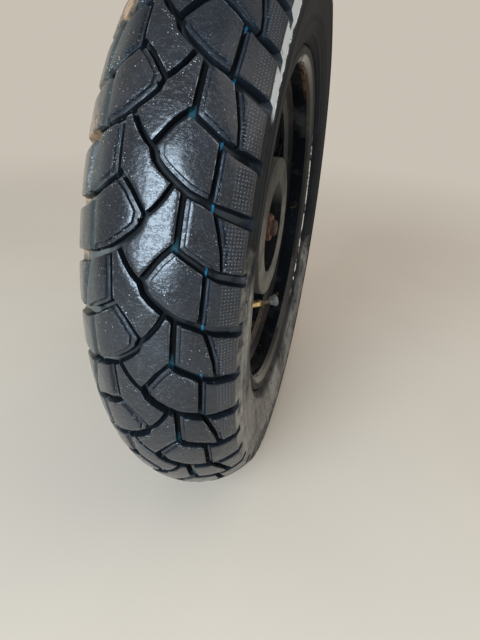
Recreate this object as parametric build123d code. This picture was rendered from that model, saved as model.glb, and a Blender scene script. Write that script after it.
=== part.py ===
from build123d import *
import math
import os

# Rear wheel of a motor scooter with the stub axle that carries it, in millimetres.
# The axle lies along Y, with +Y to the vehicle's left, +X forward and +Z up.
# The origin is on the axle, where its collar seats on the vehicle.
# Distances along the axle are counted from the wheel's centre plane, left positive.

# Tyre
tyre_radius = 254.0
tread_half_width = 51.6
tread_drop = 26.7
tread_thickness = 12.0
sidewall_bulge = 1.6
widest_below_edge = 16.0
sidewall_thickness = 8.0
foot_above_flange = 2.6
foot_overhang = 1.0
bead_width = 11.0
bead_taper = 3.0

# Rim barrel, cast in one piece with its spokes and hub
bead_seat_radius = 152.0
bead_seat_width = 13.0
flange_height = 10.5
flange_inner_half_width = 38.1
flange_thickness = 6.0
flange_round = 2.0
barrel_wall = 4.2
well_depth = 14.0
well_half_width = 17.0
lip_flare = 8.0
lip_width = 3.2
lip_foot = 2.0

# Hub
hub_radius = 67.5
hub_wall = 5.0
hub_right = 31.5
hub_left = 44.0
drum_lip = 3.5
drum_lip_length = 5.0
recess_radius = 44.5
recess_depth = 19.5
recess_floor = 6.0
face_thickness = 6.0
boss_radius = 34.0
boss_overhang = 2.0
edge_break = 1.2

# Spokes and the ribs inside the hub
spoke_count = 5
spoke_right = 15.0
spoke_left = 12.0
spoke_hub_half_width = 25.0
spoke_waist_half_width = 14.0
spoke_rim_half_width = 21.0
spoke_pocket_depth = 8.0
spoke_pocket_draft = 8.0
spoke_edge = 5.5
spoke_root_sink = 2.0
rib_count = 10
rib_thickness = 4.5
rib_top = 3.0
rib_sink = 1.0

# Brake drum liner, a steel ring in the hub's left end
liner_radius = 55.0
liner_thickness = 5.0
liner_length = 33.0
liner_inset = 1.0

# Bearings: bore, outside radius, width, inner ring's outside radius, outer ring's inside radius
axle_seat_radius = 8.5
right_bearing = dict(radius=20.0, width=12.0, inner=12.4, outer=16.6)
left_bearing = dict(radius=23.5, width=14.0, inner=13.6, outer=19.2)
bearing_gap = 14.0
shield_thickness = 1.2
shield_inset = 0.6
bearing_stop = 5.0
spacer_wall = 2.9

# Axle, from the vehicle's side to the nut
centre_offset = 60.0
pin_radius = 12.5
pin_length = 38.0
pin_chamfer = 1.5
collar_radius = 20.0
collar_length = 6.0
shoulder_radius = 12.2
thread_radius = 8.0
nut_flats = 24.0
nut_height = 13.0
washer_radius = 12.0
washer_height = 4.0
axle_end_beyond_nut = 5.0

# Valve, bent to reach out to the right and turned a little in its hole
valve_angle = -70.5
valve_turn = 29.5
valve_offset = 0.5
valve_hole_radius = 5.6
valve_boss_radius = 11.5
valve_boss_height = 1.6
grommet_radius = 7.5
grommet_height = 6.0
grommet_head = 5.0
grommet_edge = 1.5
valve_tube_radius = 3.2
valve_foot = 1.0
valve_arm_height = 12.8
valve_bend = 4.0
valve_elbow_rest = 0.5
valve_body_radius = 4.6
valve_body_length = 14.4
valve_neck_radius = 2.6
valve_neck_length = 11.6
valve_cap_overlap = 2.0
valve_cap_length = 10.0
valve_cap_radius = 7.6
valve_cap_mouth_radius = 4.0
valve_cap_round = 2.0

# Clearances
seat_gap = 0.1
press_gap = 0.02
shield_gap = 0.06
slide_gap = 0.03

right_seat = -(hub_right - recess_depth)
right_bearing_inner_end = right_seat + right_bearing["width"]
left_bearing_start = right_bearing_inner_end + bearing_gap
left_bearing_end = left_bearing_start + left_bearing["width"]
flange_radius = bead_seat_radius + flange_height
rim_half_width = flange_inner_half_width + flange_thickness
well_outer_radius = bead_seat_radius - well_depth
well_inner_radius = well_outer_radius - barrel_wall
seat_inner_radius = bead_seat_radius - barrel_wall
valve_boss_face = math.sqrt(well_inner_radius ** 2 - valve_boss_radius ** 2) - valve_boss_height
liner_start = hub_left - liner_inset - liner_length


def turned(outline):
    """A solid of revolution about the axle from an outline of (radius, place along the axle)."""
    return revolve(make_face(Polyline(*outline, close=True)), Axis.Y)


def ring(inner, outer, start, end):
    return turned([(inner, start), (outer, start), (outer, end), (inner, end)])


def both_sides(half):
    """Mirrors a half outline of (radius, distance from the centre plane) to the other side."""
    return half + [(radius, -place) for radius, place in reversed(half)]


def tyre():
    """A round crown and bulging sidewalls outside, a straight-sided lining inside."""
    bead_radius = bead_seat_radius + seat_gap
    bead_face = flange_inner_half_width - seat_gap
    lip_top = flange_radius + seat_gap
    edge_radius = tyre_radius - tread_drop
    widest_radius = edge_radius - widest_below_edge
    widest_half_width = tread_half_width + sidewall_bulge
    shoulder = (edge_radius, tread_half_width)
    widest = (widest_radius, widest_half_width)
    foot = (flange_radius + foot_above_flange, rim_half_width + foot_overhang)
    toe = (bead_radius, bead_face - bead_width)
    bead_inner = (bead_radius + flange_height, toe[1] + bead_taper)
    lining_side = (widest_radius, widest_half_width - sidewall_thickness)
    lining_shoulder = (edge_radius, tread_half_width - tread_thickness)

    def other(point):
        return (point[0], -point[1])

    def side(turn):
        return [
            ThreePointArc(turn(shoulder), turn(widest), turn(foot)),
            Polyline(turn(foot), turn((lip_top, rim_half_width)), turn((lip_top, bead_face)),
                     turn((bead_radius, bead_face)), turn(toe), turn(bead_inner), turn(lining_side),
                     turn(lining_shoulder)),
        ]

    crown = ThreePointArc(other(shoulder), (tyre_radius, 0), shoulder)
    lining = ThreePointArc(other(lining_shoulder), (tyre_radius - tread_thickness, 0), lining_shoulder)
    edges = [crown, lining] + side(lambda point: point) + side(other)
    return revolve(make_face(Wire([edge for line in edges for edge in line.edges()])), Axis.Y)


def barrel():
    """Flanges, bead seats and drop well; the inside follows the outside one wall lower."""
    seat_end = flange_inner_half_width - bead_seat_width
    slope = math.atan2(well_depth, seat_end - well_half_width)
    corner_shift = barrel_wall * math.tan(0.5 * slope)
    outside = [
        (flange_radius - flange_round, rim_half_width),
        (flange_radius, rim_half_width - flange_round),
        (flange_radius, flange_inner_half_width + flange_round),
        (flange_radius - flange_round, flange_inner_half_width),
        (bead_seat_radius, flange_inner_half_width),
        (bead_seat_radius, seat_end),
        (well_outer_radius, well_half_width),
    ]
    inside = [
        (seat_inner_radius + lip_flare, rim_half_width),
        (seat_inner_radius + lip_foot, rim_half_width - lip_width),
        (seat_inner_radius, rim_half_width - 2 * lip_width),
        (seat_inner_radius, seat_end - corner_shift),
        (well_inner_radius, well_half_width - corner_shift),
    ]
    outline = both_sides(outside) + [(radius, -place) for radius, place in inside]
    outline += list(reversed(inside))
    return turned(outline)


def hub():
    """A cup open to the left for the brake, with a recess and a bearing seat at its right end."""
    seat = liner_radius + liner_thickness + press_gap
    wall_inner = hub_radius - hub_wall
    recess_outer = recess_radius + hub_wall
    boss_end = left_bearing_end + boss_overhang
    floor_left = right_seat + recess_floor
    stop_radius = right_bearing["radius"] - bearing_stop
    return turned([
        (right_bearing["radius"] + press_gap, right_seat),
        (recess_radius, right_seat),
        (recess_radius, -hub_right + edge_break),
        (recess_radius + edge_break, -hub_right),
        (hub_radius - edge_break, -hub_right),
        (hub_radius, -hub_right + edge_break),
        (hub_radius, hub_left - drum_lip_length - drum_lip),
        (hub_radius + drum_lip, hub_left - drum_lip_length),
        (hub_radius + drum_lip, hub_left),
        (seat, hub_left),
        (seat, liner_start),
        (wall_inner, liner_start - hub_wall),
        (wall_inner, -hub_right + face_thickness),
        (recess_outer, -hub_right + face_thickness),
        (recess_outer, floor_left),
        (boss_radius, floor_left),
        (boss_radius, boss_end),
        (left_bearing["radius"] + press_gap, boss_end),
        (left_bearing["radius"] + press_gap, left_bearing_start),
        (stop_radius, left_bearing_start),
        (stop_radius, right_bearing_inner_end),
        (right_bearing["radius"] + press_gap, right_bearing_inner_end),
    ])


def spoke_outline(inset):
    """Half widths swell at the hub and at the rim, with an arc through the waist."""
    start = hub_radius - spoke_root_sink + 2 * inset
    end = well_inner_radius + spoke_root_sink - 2 * inset
    middle = 0.5 * (start + end)
    hub_side = spoke_hub_half_width - inset
    waist = spoke_waist_half_width - inset
    rim_side = spoke_rim_half_width - inset
    upper = ThreePointArc((start, hub_side), (middle, waist), (end, rim_side))
    lower = ThreePointArc((end, -rim_side), (middle, -waist), (start, -hub_side))
    ends = [Line((end, rim_side), (end, -rim_side)), Line((start, -hub_side), (start, hub_side))]
    edges = [edge for line in [upper, lower] + ends for edge in line.edges()]
    return Plane.XZ * make_face(Wire(edges))


def spoke():
    """A bar with a pocket in each face, which narrows towards its floor by the casting's draft."""
    body = Pos(0, spoke_left, 0) * extrude(spoke_outline(0), spoke_left + spoke_right)
    pocket = extrude(spoke_outline(spoke_edge), spoke_pocket_depth, taper=spoke_pocket_draft)
    left_pocket = Pos(0, spoke_left, 0) * pocket
    right_pocket = Pos(0, -spoke_right, 0) * mirror(pocket, about=Plane.XZ)
    return body - right_pocket - left_pocket


def rib():
    """A web between boss, recess wall and outer wall, seen from inside the drum."""
    floor_left = right_seat + recess_floor - rib_sink
    inner = boss_radius - rib_sink
    step = recess_radius + hub_wall - rib_sink
    outer = hub_radius - hub_wall + rib_sink
    low = -hub_right + face_thickness - rib_sink
    profile = make_face(Polyline(
        (inner, floor_left), (step, floor_left), (step, low), (outer, low), (outer, rib_top), (inner, rib_top),
        close=True,
    ))
    return Pos(0, 0, -0.5 * rib_thickness) * extrude(profile, rib_thickness)


def at_angle(angle, shape):
    """Turns a shape that points forward so that it points up by the angle, in degrees."""
    return Rot(0, -angle, 0) * shape


def wheel_casting():
    casting = barrel() + hub()
    for index in range(spoke_count):
        casting += at_angle(valve_angle + (index + 0.5) * 360 / spoke_count, spoke())
    for index in range(rib_count):
        casting += at_angle(valve_angle + index * 360 / rib_count, rib())
    boss = radial([(0, valve_boss_face), (valve_boss_radius, valve_boss_face),
                   (valve_boss_radius, well_inner_radius + spoke_root_sink), (0, well_inner_radius + spoke_root_sink)])
    hole = Rot(0, 90, 0) * Cylinder(valve_hole_radius, 4 * well_depth)
    hole = Pos(well_outer_radius, -valve_offset, 0) * hole
    casting += at_angle(valve_angle, boss)
    return casting - at_angle(valve_angle, hole)


def bearing(size, start):
    """The inner ring, and the outer ring with its two shields."""
    end = start + size["width"]
    inner = ring(axle_seat_radius + slide_gap, size["inner"], start, end)
    outer = ring(size["outer"], size["radius"], start, end)
    lip = size["inner"] + shield_gap
    for face in (start + shield_inset, end - shield_inset - shield_thickness):
        outer += ring(lip, size["outer"] + seat_gap, face, face + shield_thickness)
    return inner, outer


def axle():
    seat_end = right_seat - washer_height
    end = seat_end - nut_height - axle_end_beyond_nut
    return turned([
        (0, end),
        (thread_radius - pin_chamfer, end),
        (thread_radius, end + pin_chamfer),
        (thread_radius, seat_end),
        (axle_seat_radius, seat_end + axle_seat_radius - thread_radius),
        (axle_seat_radius, left_bearing_end),
        (shoulder_radius, left_bearing_end),
        (shoulder_radius, centre_offset - collar_length),
        (collar_radius, centre_offset - collar_length),
        (collar_radius, centre_offset),
        (pin_radius, centre_offset),
        (pin_radius, centre_offset + pin_length - pin_chamfer),
        (pin_radius - pin_chamfer, centre_offset + pin_length),
        (0, centre_offset + pin_length),
    ])


def nut():
    """A hexagon whose corners are turned down at the outer end, bored to slide over the thread."""
    start = right_seat - washer_height
    end = start - nut_height
    corner = nut_flats / math.sqrt(3)
    flat = 0.5 * nut_flats
    hexagon = Pos(0, start, 0) * extrude(Plane.XZ * RegularPolygon(corner, 6), nut_height)
    crown = turned([(0, start), (corner, start), (corner, end + corner - flat), (flat, end), (0, end)])
    bore = ring(0, thread_radius + slide_gap, end - nut_height, start + nut_height)
    return (hexagon & crown) - bore


def radial(outline):
    """Turns an outline of (radius, height from the axle) about a line that points forward."""
    points = [(height, radius) for radius, height in outline]
    return Pos(0, -valve_offset, 0) * revolve(make_face(Polyline(*points, close=True)), Axis.X)


def lateral(outline, arm_radius):
    """Turns an outline of (radius, distance to the right of the centre plane) about the valve's arm."""
    points = [(radius, -place) for radius, place in outline]
    return Pos(arm_radius, 0, 0) * revolve(make_face(Polyline(*points, close=True)), Axis.Y)


def turned_in_hole(shape):
    """Turns a piece of the valve about the middle line of its hole."""
    return Pos(0, -valve_offset, 0) * Rot(-valve_turn, 0, 0) * Pos(0, valve_offset, 0) * shape


def grommet():
    """A flat head seats under the well, a waist fills the hole and a tapered foot holds it above."""
    tube = valve_tube_radius + press_gap
    waist = valve_hole_radius - press_gap
    seat = valve_boss_face - seat_gap
    top = well_outer_radius + seat_gap
    return radial([
        (tube, seat - grommet_height),
        (tube + grommet_edge, seat - grommet_height),
        (grommet_radius, seat - grommet_edge),
        (grommet_radius, seat),
        (waist, seat),
        (waist, top),
        (grommet_radius, top),
        (grommet_radius - grommet_edge, top + grommet_head - grommet_edge),
        (tube, top + grommet_head),
    ])


def valve_stem(arm_radius, body_start, neck_start, neck_end):
    """A bent tube through the grommet, then a brass body and a thinner threaded neck."""
    top = well_outer_radius + grommet_head + valve_foot
    path = FilletPolyline((top, -valve_offset), (arm_radius, -valve_offset), (arm_radius, -body_start),
                          radius=valve_bend)
    foot = Plane(origin=(top, -valve_offset, 0), z_dir=(-1, 0, 0))
    step = valve_body_radius - valve_neck_radius
    body = lateral([
        (0, body_start),
        (valve_body_radius, body_start),
        (valve_body_radius, neck_start - 0.5 * step),
        (valve_neck_radius, neck_start + 0.5 * step),
        (valve_neck_radius, neck_end),
        (0, neck_end),
    ], arm_radius)
    return sweep(foot * Circle(valve_tube_radius), path=path) + body


def valve_cap(arm_radius, start, neck_end):
    """A cap that flares towards its closed end."""
    thread = valve_neck_radius + seat_gap
    end = start + valve_cap_length
    return lateral([
        (thread, start),
        (valve_cap_mouth_radius, start),
        (valve_cap_radius, end - valve_cap_round),
        (valve_cap_radius - valve_cap_round, end),
        (0, end),
        (0, neck_end + seat_gap),
        (thread, neck_end + seat_gap),
    ], arm_radius)


def valve():
    arm_radius = well_inner_radius - valve_arm_height
    body_start = valve_offset + valve_bend + valve_elbow_rest
    neck_start = body_start + valve_body_length
    neck_end = neck_start + valve_neck_length
    stem = valve_stem(arm_radius, body_start, neck_start, neck_end)
    cap = valve_cap(arm_radius, neck_end - valve_cap_overlap, neck_end)
    return {
        "valve_grommet": at_angle(valve_angle, grommet()),
        "valve_stem": at_angle(valve_angle, turned_in_hole(stem)),
        "valve_cap": at_angle(valve_angle, turned_in_hole(cap)),
    }


right_inner, right_outer = bearing(right_bearing, right_seat)
left_inner, left_outer = bearing(left_bearing, left_bearing_start)
spacer_bore = axle_seat_radius + slide_gap

nodes = {
    "tyre": tyre(),
    "wheel_casting": wheel_casting(),
    "brake_drum_liner": ring(liner_radius, liner_radius + liner_thickness,
                             liner_start + seat_gap, hub_left - liner_inset),
    "bearing_outer_right": right_outer,
    "bearing_outer_left": left_outer,
    **valve(),
    "axle": axle(),
    "bearing_inner_right": right_inner,
    "bearing_inner_left": left_inner,
    "bearing_spacer": ring(spacer_bore, spacer_bore + spacer_wall, right_bearing_inner_end, left_bearing_start),
    "axle_washer": ring(spacer_bore, washer_radius, right_seat - washer_height, right_seat),
    "axle_nut": nut(),
}

os.makedirs("parts", exist_ok=True)
for name, shape in nodes.items():
    export_step(Pos(0, -centre_offset, 0) * shape, f"parts/{name}.step")
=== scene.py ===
import math
import bpy
import numpy as np
from mathutils import Matrix, Vector


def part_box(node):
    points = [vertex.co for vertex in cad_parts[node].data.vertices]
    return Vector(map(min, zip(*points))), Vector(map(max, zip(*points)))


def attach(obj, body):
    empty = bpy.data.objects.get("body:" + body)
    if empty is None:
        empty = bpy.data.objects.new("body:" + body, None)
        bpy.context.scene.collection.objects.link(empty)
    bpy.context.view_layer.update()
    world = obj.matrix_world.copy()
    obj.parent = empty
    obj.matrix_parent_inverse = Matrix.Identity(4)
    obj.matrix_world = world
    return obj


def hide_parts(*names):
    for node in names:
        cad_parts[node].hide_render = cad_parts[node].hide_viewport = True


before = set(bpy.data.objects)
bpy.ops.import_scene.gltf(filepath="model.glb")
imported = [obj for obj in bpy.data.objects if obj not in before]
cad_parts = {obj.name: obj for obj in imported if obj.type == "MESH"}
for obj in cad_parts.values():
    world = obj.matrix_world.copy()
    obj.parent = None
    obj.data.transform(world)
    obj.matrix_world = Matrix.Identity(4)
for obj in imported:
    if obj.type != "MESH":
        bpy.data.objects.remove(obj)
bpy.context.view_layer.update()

mm = 0.001
tiny = 1e-9                       # keeps a divisor from being zero
tyreLow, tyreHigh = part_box("tyre")
wheelY = (0.5 * (tyreLow + tyreHigh)).y  # the wheel's middle plane
tyreRadius = 0.5 * (tyreHigh.x - tyreLow.x)
print("Frame loaded, tyre radius", round(tyreRadius, 4), "m")


# Shader maths: a wrapped socket makes its own Math nodes

class Value:
    def __init__(self, shader, socket):
        self.shader = shader
        self.socket = socket

    def math(self, operation, *others):
        return self.shader.node("ShaderNodeMath", {"operation": operation}, dict(enumerate((self, *others))))

    def __add__(self, other):
        return self.math("ADD", other)

    def __sub__(self, other):
        return self.math("SUBTRACT", other)

    def __rsub__(self, other):
        return self.shader.node("ShaderNodeMath", {"operation": "SUBTRACT"}, {0: other, 1: self})

    def __mul__(self, other):
        return self.math("MULTIPLY", other)

    def __abs__(self):
        return self.math("ABSOLUTE")

    __radd__ = __add__
    __rmul__ = __mul__


class Shader:
    # One material with its Principled node, and the pieces of a pattern
    def __init__(self, name, **constants):
        self.material = bpy.data.materials.new(name)
        self.material.use_nodes = True
        self.tree = self.material.node_tree
        self.surface = next(n for n in self.tree.nodes if n.type == "BSDF_PRINCIPLED")
        self.output = next(n for n in self.tree.nodes if n.type == "OUTPUT_MATERIAL")
        for socket, value in constants.items():
            self.surface.inputs[socket.replace("_", " ")].default_value = value
        self.place = self.node("ShaderNodeTexCoord", {}, {}, "Object")
        self.read = {}            # what masks are read from, by name

    def node(self, kind, settings, inputs, output=0):
        # Any node: its type, its settings, and the values or links of its sockets
        made = self.tree.nodes.new(kind)
        for key, value in settings.items():
            setattr(made, key, value)
        for key, value in inputs.items():
            if isinstance(value, Value):
                self.tree.links.new(value.socket, made.inputs[key])
            else:
                made.inputs[key].default_value = value
        return Value(self, made.outputs[output])

    def mix(self, factor, first, second):
        # From one colour to another, each a socket or three numbers
        first, second = (value if isinstance(value, Value) else (*value, 1) for value in (first, second))
        return self.node("ShaderNodeMix", {"data_type": "RGBA", "clamp_factor": True},
                         {0: factor, 6: first, 7: second}, 2)

    def noise(self, scale, detail=4.0, rough=0.55, place=None, stretch=None):
        where = place or self.place
        if stretch:
            where = self.node("ShaderNodeMapping", {}, {"Vector": where, "Scale": stretch})
        return self.node("ShaderNodeTexNoise", {},
                         {"Vector": where, "Scale": scale, "Detail": detail, "Roughness": rough})

    def cells(self, scale, feature="F1", place=None):
        return self.node("ShaderNodeTexVoronoi", {"feature": feature},
                         {"Vector": place or self.place, "Scale": scale}, "Distance")

    def step(self, value, low, high):
        # Smoothly from 0 at low to 1 at high
        return self.node("ShaderNodeMapRange", {"interpolation_type": "SMOOTHSTEP", "clamp": True},
                         {"Value": value, "From Min": low, "From Max": high})

    def between(self, value, low, high, soft):
        # 1 from low to high, and smoothly 0 outside them
        return self.step(value, low - soft, low + soft) * self.step(value, high + soft, high - soft)

    def patches(self, scale, detail, rough, low, high):
        # Patches of noise, which begin where it is at low and are full at high
        return self.step(self.noise(scale, detail, rough), low, high)

    def shift(self, scale, detail, rough, reach, place=None):
        # An uneven shift, by half the reach at most either way
        return (self.noise(scale, detail, rough, place) - 0.5) * reach

    def noises(self, parts):
        # The sum of two noises, each with its scale, detail and share
        first, second = (self.noise(scale, detail) * share for scale, detail, share in parts)
        return first + second

    def attribute(self, name):
        return self.node("ShaderNodeAttribute", {"attribute_name": name}, {}, "Fac")

    def axes(self):
        # Forward, left and up of a point, counted from the wheel's middle, in metres
        split = self.node("ShaderNodeSeparateXYZ", {}, {0: self.place}).socket.node
        forward, left, up = (Value(self, socket) for socket in split.outputs)
        return forward, left - wheelY, up

    def readWheel(self):
        # Masks may be read from a point's place on the wheel: how far left of the middle plane
        # and how high it is, its radius, and its degrees up from straight back
        forward, left, up = self.axes()
        radius = (forward * forward + up * up).math("SQRT")
        angle = up.math("ARCTAN2", 0 - forward) * (180 / math.pi)
        self.read.update(left=left, up=up, radius=radius, angle=angle)

    def countedOn(self, angle):
        # The same degrees from -100 to 260, so that a stretch over the front is in one piece
        return angle + 360 * self.step(angle, -99.9, -100.1)

    def mask(self, settings, **also):
        # The product of the masks that the settings ask for, and their strength
        read = {**self.read, **also}
        masks = []
        for name, numbers in settings.items():
            if name.startswith("patches"):
                masks.append(self.patches(*numbers))
            elif name in read and len(numbers) == 2:
                masks.append(self.step(read[name], *numbers))
            elif name in read:
                masks.append(self.between(read[name], *numbers))
            elif name == "by":
                masks.append(numbers)
        return math.prod(masks[1:], start=masks[0])

    def layer(self, under, settings, *masks, **also):
        # The settings' own colour over another one, where their mask and the other masks are
        return self.mix(math.prod(masks, start=self.mask(settings, **also)), under, settings["colour"])

    def wear(self, **sockets):
        for socket, value in sockets.items():
            self.tree.links.new(value.socket, self.surface.inputs[socket.replace("_", " ")])

    def cover(self, mask, surface):
        # Where the mask is 1, another surface takes the place of the first one
        both = self.node("ShaderNodeMixShader", {},
                         {0: mask, 1: Value(self, self.surface.outputs[0]), 2: surface})
        self.tree.links.new(both.socket, self.output.inputs["Surface"])

    def dullWhere(self, mask, colour, roughness, specular):
        self.cover(mask, self.node("ShaderNodeBsdfPrincipled", {}, {
            "Base Color": colour, "Roughness": roughness, "Specular IOR Level": specular}))

    def bump(self, height, strength, distance):
        self.wear(Normal=self.node("ShaderNodeBump", {}, {
            "Strength": strength, "Distance": distance, "Height": height}))


# Tyre: a section carried round the axle, with the tread's grooves cut into it

tyre = {
    "treadHalfWidth": 51.6 * mm,
    "treadDrop": 26.7 * mm,
    "widest": (211.3 * mm, 53.2 * mm),  # radius and distance from the middle plane
    "foot": (165.1 * mm, 45.1 * mm),
    "tuck": (163.0 * mm, 42.6 * mm),  # under the rim's edge
    "pitches": 22,
    "columns": 90,                # grid columns in one pitch of the pattern
    "crownRows": 74,              # grid rows from the crown to the tread's edge
    "skirt": 11.0 * mm,           # how far the tread's grid reaches down the side
    "skirtRows": 11,
    "sectors": 4,
    "depth": 5.8 * mm,
    "wall": 0.9 * mm,             # how far a groove's wall leans
    "ledgeDepth": 1.9 * mm,
    "ledgeWall": 0.7 * mm,        # from the block's top down to the ledge's flat lip
    "ledgeOverlap": 0.4,          # mm that a ledge reaches into its groove
    "ledgeMargin": 2,             # mm that its stretch may be short at its ends
    "edgeSoft": 0.34 * mm,        # how much a block's edge is worn down
    "edgeReach": 0.6 * mm,
    "fadeFrom": 1.0 * mm,         # below the tread's edge the grooves run out
    "fadeLength": 6.0 * mm,
    "patternStart": 13.0,         # degrees up from straight back
    "slidePasses": 3,
    "slideMost": 0.9,             # grid cells that a point may slide to a bank
    "ledgeSlideMost": 0.8,        # and to a ledge's lip
    "heldSlope": 0.35,            # least slope of a bank for points on the edge
    "sharpAngle": 32,
}

# One side of one pitch: millimetres out from the middle, degrees up from straight back, and
# the half width there in mm. The long grooves open at the tread's edge, the rest join them
rightGrooves = {
    "longLower": [(0.0, 26.1, 2.3), (2.5, 24.6, 2.4), (6.8, 23.6, 2.4), (12.5, 22.6, 2.4),
                  (16.7, 21.9, 2.5), (22.3, 21.1, 2.5), (30.5, 20.4, 2.6), (35.7, 19.8, 3.0),
                  (42.0, 19.3, 3.6), (51.6, 18.6, 4.0), (62.0, 18.4, 4.0)],
    "longUpper": [(17.0, 30.8, 2.2), (22.4, 29.9, 2.3), (28.0, 29.1, 2.4), (33.6, 28.2, 2.6),
                  (42.0, 27.2, 3.4), (51.5, 26.6, 3.7), (62.0, 26.4, 3.8)],
    "rise": [(0.3, 26.3, 1.9), (9.8, 29.2, 1.9), (17.0, 30.9, 1.9)],
    "upperRise": [(0.8, 34.3, 1.9), (4.8, 35.1, 1.9), (9.6, 36.5, 1.9), (14.2, 38.4, 1.9)],
    "innerLink": [(19.7, 37.6, 1.9), (18.8, 30.8, 2.0)],
    "outerLink": [(34.4, 28.2, 1.8), (34.2, 24.5, 1.8), (33.4, 20.6, 1.8)],
    "shoulderSlit": [(36.2, 19.2, 1.7), (39.0, 16.7, 1.6), (41.2, 14.1, 1.5), (42.2, 11.4, 1.4)],
}
# Ledges on one bank of a groove: which bank of its direction (1 is the left one), the width
# in mm and the stretch of the groove that has it, in millimetres out from the middle
rightLedges = [
    ("rise", -1, 2.7, (0.0, 17.0)),
    ("longLower", 1, 2.7, (1.5, 31.0)),
    ("innerLink", 1, 2.6, (0.0, 60.0)),
    ("longUpper", 1, 2.5, (18.0, 36.0)),
    ("outerLink", 1, 1.6, (0.0, 60.0)),
    ("shoulderSlit", 1, 2.0, (0.0, 60.0)),
]


def circleThrough(first, middle, last):
    # The circle through three points: its middle solves two equal-distance equations
    a, b, c = (np.array(point, float) for point in (first, middle, last))
    rows = 2 * np.array([b - a, c - a])
    right = np.array([b @ b - a @ a, c @ c - a @ a])
    centre = np.linalg.solve(rows, right)
    return centre, float(np.linalg.norm(a - centre))


crownRadius = (tyre["treadHalfWidth"] ** 2 + tyre["treadDrop"] ** 2) / (2 * tyre["treadDrop"])
crownAngle = math.asin(tyre["treadHalfWidth"] / crownRadius)
edgeLength = crownRadius * crownAngle  # from the crown to the tread's edge
shoulder = (tyreRadius - tyre["treadDrop"], tyre["treadHalfWidth"])
sideCentre, sideRadius = circleThrough(shoulder, tyre["widest"], tyre["foot"])
sideStart = math.atan2(shoulder[0] - sideCentre[0], shoulder[1] - sideCentre[1])
sideEnd = math.atan2(tyre["foot"][0] - sideCentre[0], tyre["foot"][1] - sideCentre[1])
sideLength = sideRadius * (sideStart - sideEnd)
pitchAngle = 2 * math.pi / tyre["pitches"]


def section(run):
    # The outside at a run from the crown: first the crown's arc, then the sidewall's arc.
    # Gives radius, distance from the middle plane, and the outward direction in that plane
    distance = np.abs(run)
    crown = np.minimum(distance, edgeLength) / crownRadius
    side = sideStart - np.clip(distance - edgeLength, 0, sideLength) / sideRadius
    onCrown = distance <= edgeLength
    radius = np.where(onCrown, tyreRadius - crownRadius + crownRadius * np.cos(crown),
                      sideCentre[0] + sideRadius * np.sin(side))
    out = np.where(onCrown, crownRadius * np.sin(crown), sideCentre[1] + sideRadius * np.cos(side))
    normalRadius = np.where(onCrown, np.cos(crown), np.sin(side))
    normalOut = np.where(onCrown, np.sin(crown), np.cos(side))
    sign = np.where(run < 0, -1.0, 1.0)
    return radius, sign * out, normalRadius, sign * normalOut


def runOf(out):
    # The run from the crown of a point given by its distance from the middle plane
    size = abs(out)
    if size >= tyre["treadHalfWidth"]:
        return math.copysign(edgeLength + size - tyre["treadHalfWidth"], out)
    return math.copysign(crownRadius * math.asin(size / crownRadius), out)


def bothSides():
    # The right side as it is, and mirrored to the left and moved on by half a pitch, each
    # for this pitch and two on either side of it
    for mirror, shift in ((1, 0.0), (-1, 0.5 * pitchAngle)):
        for turn in (-2, -1, 0, 1, 2):
            yield mirror, shift + turn * pitchAngle


def grooveLegs():
    # The straight legs of the grooves: run, angle and half width at both ends, and 1 where
    # the groove is a long one
    legs = []
    for mirror, shift in bothSides():
        for name, points in rightGrooves.items():
            ends = [(mirror * runOf(out * mm), math.radians(degrees) + shift, wide * mm)
                    for out, degrees, wide in points]
            isLong = (float(name.startswith("long")),)
            legs += [first + second + isLong for first, second in zip(ends, ends[1:])]
    return np.array(legs)


def ledgeLegs():
    # The same for the ledges: each leg lies beside its groove, and reaches a little into it
    legs = []
    overlap, margin = tyre["ledgeOverlap"], tyre["ledgeMargin"]
    for mirror, shift in bothSides():
        for name, bank, width, (low, high) in rightLedges:
            points = rightGrooves[name]
            for (outA, degreesA, wideA), (outB, degreesB, wideB) in zip(points, points[1:]):
                if not low - margin <= 0.5 * (outA + outB) <= high + margin:
                    continue
                outA, outB = (min(max(out, low), high) for out in (outA, outB))
                runA, runB = mirror * runOf(outA * mm), mirror * runOf(outB * mm)
                angleA, angleB = math.radians(degreesA) + shift, math.radians(degreesB) + shift
                legRun, legAlong = runB - runA, (angleB - angleA) * tyreRadius
                length = math.hypot(legRun, legAlong)
                offRun, offAlong = -legAlong / length * bank * mirror, legRun / length * bank * mirror
                offset = (0.5 * (wideA + wideB) + 0.5 * width - overlap) * mm
                turn = offAlong * offset / tyreRadius
                half = (0.5 * width + overlap) * mm
                legs.append((runA + offRun * offset, angleA + turn, half,
                             runB + offRun * offset, angleB + turn, half, 0))
    return np.array(legs)


def legDistance(run, angle, legs):
    # How far each point is outside the nearest leg's bank, negative inside it, the direction
    # in (run, along) that leads away from it, and the leg's own kind
    radius = section(run)[0]
    best = np.full(run.shape, 1.0)  # a metre is further than any leg
    away = np.zeros(run.shape + (2,))
    kind = np.zeros(run.shape)
    for runA, angleA, wideA, runB, angleB, wideB, long in legs:
        legRun = runB - runA
        legAlong = (angleB - angleA) * radius
        fromRun = run - runA
        fromAlong = (angle - angleA) * radius
        share = np.clip((fromRun * legRun + fromAlong * legAlong) / (legRun ** 2 + legAlong ** 2), 0, 1)
        offRun = fromRun - share * legRun
        offAlong = fromAlong - share * legAlong
        distance = np.hypot(offRun, offAlong) + tiny
        value = distance - (wideA + share * (wideB - wideA))
        nearer = value < best
        best = np.where(nearer, value, best)
        kind = np.where(nearer, long, kind)
        away[nearer] = np.stack([offRun / distance, offAlong / distance], -1)[nearer]
    return best, away, kind


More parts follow.
